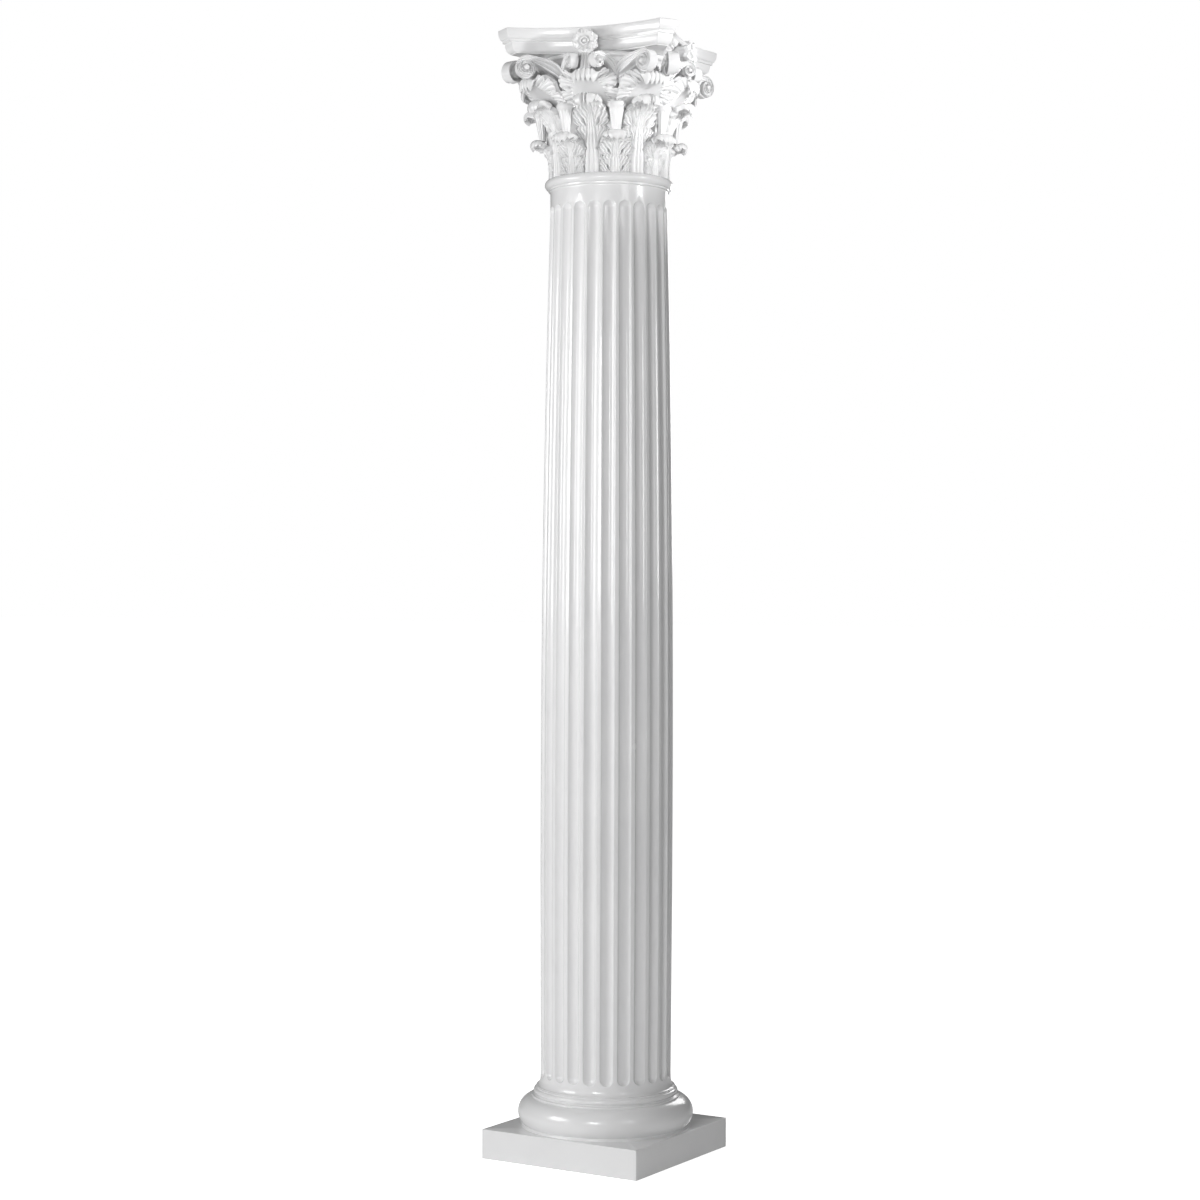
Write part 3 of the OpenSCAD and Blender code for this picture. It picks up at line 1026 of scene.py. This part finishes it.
# ribbon with raised edges that climbs from the stalk and rolls up in an upright plane
def makeScroll(name, scroll):
    source, centre = flatSpot(*scroll["start"]), flatSpot(*scroll["centre"])
    run = math.dist(centre, source)
    side = 1 if scroll["centre"][1] > stalk["angle"] else -1
    place = inPlane(source, math.atan2(centre[1] - source[1], centre[0] - source[0]))
    height, depth, eye = scroll["height"], scroll["depth"], scroll["eye"]

    # ring round the scroll's middle, as far out of its plane as asked
    def middleRing(radius, steps, out):
        angles = [tau * j / steps for j in range(steps)]
        return [place(run + radius * cos(a), -side * out, height + radius * sin(a)) for a in angles]

    path = scrollPath(scroll, run)
    upper = [(n, scroll["rim"] * drop) for n, drop in scrollCut["half"]]
    rings = []
    for i, (x, y, r, coilShare, stemShare) in enumerate(path):
        ax, ay = path[max(i - 1, 0)][:2]
        bx, by = path[min(i + 1, len(path) - 1)][:2]
        size = math.dist((ax, ay), (bx, by))
        nx, ny = (by - ay) / -size, (bx - ax) / size
        half = bandHalf(scroll, r, stemShare)
        face = depth / 2 + scroll["cone"] * coilShare
        section = [(-1, -depth / 2)] + [(-n, face - drop) for n, drop in reversed(upper[1:])]
        section += [(n, face - drop) for n, drop in upper] + [(1, -depth / 2)]
        rings.append([place(x + nx * half * n, -side * b, y + ny * half * n) for n, b in section])
    ribbon = skin(name + "Ribbon", rings)
    web = [middleRing(scroll["radius"] * share, scrollCut["webSteps"], depth * out)
           for out, share in scrollCut["web"]]
    disc = skin(name + "Web", web)
    domeFoot = depth / 2 + scroll["cone"] - eye * scrollCut["eyeSink"]
    dome = [middleRing(eye, scrollCut["eyeSteps"], depth * scrollCut["eyeFoot"])]
    for rise in [pi / 2 * k / scrollCut["eyeRows"] for k in range(scrollCut["eyeRows"])]:
        out = domeFoot + eye * scrollCut["eyeDome"] * sin(rise)
        dome.append(middleRing(eye * cos(rise), scrollCut["eyeSteps"], out))
    button = skin(name + "Eye", dome)
    return [settled(piece, scrollCut["sharp"]) for piece in (ribbon, disc, button)]


# both mirrored halves of a face, then all faces
def makeFacePieces(name, pieces):
    half = joined(name, pieces)
    twin = half.copy()
    twin.data = half.data.copy()
    bpy.context.scene.collection.objects.link(twin)
    for vertex in twin.data.vertices:
        vertex.co.y = -vertex.co.y
    both = joined(name, [half, settled(twin, column["carvedSharp"])])
    repeated(both, column["faces"], column["capitalTurn"], tau / column["faces"], paintMaterial)
    turnedPiece(settled(both, scrollCut["sharp"]), 0, capitalFoot)
    placed(both, paintMaterial, "capital")


makeFacePieces("stalks", [settled(makeStalk("stalk"), column["carvedSharp"])])
makeFacePieces("cornerScrolls", makeScroll("cornerScroll", cornerScroll))
makeFacePieces("innerScrolls", makeScroll("innerScroll", innerScroll))


flower = {
    "reach": 0.186,
    "height": 0.2825,
    "petals": 8,
    "petalFoot": 0.005,
    "radius": 0.030,
    "petalWidth": 0.0262,
    "petalSwell": (0.17, 0.86),
    "petalSwellPower": 0.7,
    "petalRoundAt": 0.7,
    "petalRound": 9,
    "petalEdgeRise": 0.0062,
    "petalRise": 0.0085,
    "petalRiseSpan": 0.62,
    "petalDroop": 0.0075,
    "petalEdgePull": 0.002,
    "petalLift": 0.0055,
    "petalBack": -0.004,
    "petalBackWidth": 0.96,
    "petalBackLength": 0.98,
    "petalRows": 18,
    "petalColumns": 17,
    "petalBackColumns": 5,
    # the middle: a stem into the abacus, a ring and a button
    "core": ((0.018, -0.040), (0.020, -0.002), (0.014, 0.006), (0.0104, 0.0078),
             (0.0085, 0.0115, 0.0022, -20, 200, 8), (0.0052, 0.0088), (0.0, 0.0100, 0.0046, 10, 84, 6)),
    "coreSteps": 40,
}

flowerStem = {
    "foot": 0.203,
    "footReach": 0.190,
    "topDrop": 0.012,
    "topBehind": 0.002,
    "footHalf": 0.0145,
    "topHalf": 0.0095,
    "ribRise": 0.0045,
    "ribs": 1.5,
    "ribPower": 0.6,
    "depth": 0.03,
    "rows": 24,
    "columns": 25,
}


def makeFlower():
    # petals are spoons: narrow at the eye, round and cupped at the end
    def petal(u, v, lift):
        r = mixed(flower["petalFoot"], flower["radius"], v)
        swell = sin(pi * mixed(*flower["petalSwell"], v)) ** flower["petalSwellPower"]
        tip = sqrt(max(1 - max(v - flower["petalRoundAt"], 0) ** 2 * flower["petalRound"], 0))
        rise = flower["petalEdgeRise"] * u * u * sin(pi * v)
        rise += flower["petalRise"] * sin(pi * flower["petalRiseSpan"] * v)
        rise -= flower["petalDroop"] * v * v
        half = flower["petalWidth"] / 2 * swell * tip
        return r - flower["petalEdgePull"] * u * u * v, u * half, lift + rise

    def petalFront(u, v):
        return petal(u, v, flower["petalLift"])

    def petalBack(u, v):
        return petal(u * flower["petalBackWidth"], v * flower["petalBackLength"], flower["petalBack"])

    def stem(u, v, deep):
        h = mixed(flowerStem["foot"], flower["height"] - flowerStem["topDrop"], v)
        reach = mixed(flowerStem["footReach"], flower["reach"] - flowerStem["topBehind"], v) - deep
        return reach, u * mixed(flowerStem["footHalf"], flowerStem["topHalf"], v), h

    def stemFront(u, v):
        ribs = flowerStem["ribRise"] * abs(cos(u * pi * flowerStem["ribs"])) ** flowerStem["ribPower"]
        return stem(u, v, -ribs)

    def stemBack(u, v):
        return stem(u, v, flowerStem["depth"])

    sharp = column["carvedSharp"]
    leaf = slab("petal", flower["petalRows"], flower["petalColumns"], petalFront, petalBack,
                flower["petalBackColumns"])
    settled(leaf, sharp)
    ring = repeated(leaf, flower["petals"], pi / 8, tau / flower["petals"], paintMaterial)
    coreRings = [circleRing(r, h, flower["coreSteps"]) for r, h in moulding(0, 0, flower["core"])]
    core = settled(skin("flowerCore", coreRings), sharp)
    piece = joined("flowers", [ring, core])
    for vertex in piece.data.vertices:
        x, y, z = vertex.co
        vertex.co = (flower["reach"] + z, y, flower["height"] + x)
    stemPiece = slab("flowerStem", flowerStem["rows"], flowerStem["columns"], stemFront, stemBack)
    piece = joined("flowers", [settled(piece, sharp), settled(stemPiece, sharp)])
    repeated(piece, column["faces"], column["capitalTurn"], tau / column["faces"], paintMaterial)
    turnedPiece(settled(piece, sharp), 0, capitalFoot)
    placed(piece, paintMaterial, "capital")


makeFlower()


studio = {
    "floorSize": 160.0,
    "floorColour": (0.93, 0.93, 0.93, 1),
    "floorRoughness": 0.8,
    "floorGlow": 0.1,
    "seenGlow": 0.8,  # extra glow of the floor where the camera looks straight at it
    "worldLight": 0.12,
    "azimuth": 31.5,
    "distance": 5.732,
    "eyeHeight": 1.289,
    "lens": 74.8,
    "sensor": 36.0,
    "roll": 0.215,
    "shift": (-0.0062, -0.0069),
}

# lamps in metres and watts; one with a cone is a spot, any other is a panel
lamps = {
    "key": {"place": (-2.3, -3.2, 1.9), "target": (0, 0, 1.4), "size": (1.8, 1.4), "watts": 70},
    "front": {"place": (1.3, -4.4, 1.9), "target": (0, 0, 1.4), "size": (1.0, 1.2), "watts": 48},
    "fill": {"place": (3.4, -1.8, 2.2), "target": (0, 0, 1.6), "size": (0.8, 1.6), "watts": 14},
    "top": {"place": (0.6, -1.0, 4.6), "target": (0, 0, 2.2), "size": (1.6, 1.6), "watts": 8},
    "back": {"place": (-0.8, 4.4, 2.2), "target": (0, 0, 1.4), "size": (1.6, 1.6), "watts": 30},
    "capital spot": {"place": (3.1, 0.2, 2.7), "target": (0, 0, 2.45), "watts": 380,
                     "cone": 11, "blend": 0.6, "softness": 0.15},
}


def makeFloor():
    half = studio["floorSize"] / 2
    corners = [(-half, -half, 0), (half, -half, 0), (half, half, 0), (-half, half, 0)]
    floor = meshPiece("floor", corners, [(0, 1, 2, 3)])
    material = bpy.data.materials.new("pale floor")
    material.use_nodes = True
    material.node_tree.nodes.clear()
    board = Board(material.node_tree)
    seen = board.add("ShaderNodeLightPath").out("Is Camera Ray")
    shader = board.add("ShaderNodeBsdfPrincipled", None,
                       {"Base Color": studio["floorColour"], "Roughness": studio["floorRoughness"],
                        "Emission Color": seen * studio["seenGlow"] + studio["floorGlow"],
                        "Emission Strength": 1.0})
    board.add("ShaderNodeOutputMaterial", None, {"Surface": shader})
    floor.data.materials.append(material)


def makeLamp(name, choice):
    light = bpy.data.lights.new(name, "SPOT" if "cone" in choice else "AREA")
    light.energy = choice["watts"]
    if "cone" in choice:
        light.spot_size = math.radians(choice["cone"])
        light.spot_blend = choice["blend"]
        light.shadow_soft_size = choice["softness"]
    else:
        light.shape = "RECTANGLE"
        light.size, light.size_y = choice["size"]
    holder = bpy.data.objects.new(name, light)
    holder.location = choice["place"]
    aim = Vector(choice["target"]) - Vector(choice["place"])
    holder.rotation_euler = aim.to_track_quat("-Z", "Y").to_euler()
    bpy.context.scene.collection.objects.link(holder)


# dim light from all round, with plain white where the camera sees past the floor
def makeWorld():
    world = bpy.data.worlds.new("studio")
    bpy.context.scene.world = world
    world.use_nodes = True
    board = Board(world.node_tree)
    world.node_tree.nodes.clear()
    white = (1, 1, 1, 1)
    seen = board.add("ShaderNodeLightPath").out("Is Camera Ray")
    dim = board.add("ShaderNodeBackground", None, {"Color": white, "Strength": studio["worldLight"]})
    bright = board.add("ShaderNodeBackground", None, {"Color": white, "Strength": 1.0})
    blend = board.add("ShaderNodeMixShader", None, {0: seen, 1: dim, 2: bright})
    board.add("ShaderNodeOutputWorld", None, {"Surface": blend})


def makeCamera():
    view = bpy.data.cameras.new("camera")
    view.lens = studio["lens"]
    view.sensor_width = studio["sensor"]
    view.shift_x, view.shift_y = studio["shift"]
    eye = bpy.data.objects.new("camera", view)
    bpy.context.scene.collection.objects.link(eye)
    azimuth = math.radians(studio["azimuth"])
    away = studio["distance"]
    eye.location = (away * sin(azimuth), -away * cos(azimuth), studio["eyeHeight"])
    upright = Euler((pi / 2, 0, azimuth)).to_matrix()
    roll = Matrix.Rotation(math.radians(studio["roll"]), 3, "Z")
    eye.rotation_euler = (upright @ roll).to_euler()
    bpy.context.scene.camera = eye


def makeStudio():
    makeFloor()
    makeWorld()
    for name, choice in lamps.items():
        makeLamp(name, choice)
    makeCamera()
    bpy.context.scene.view_settings.view_transform = "Standard"
    print("studio ready")


makeStudio()
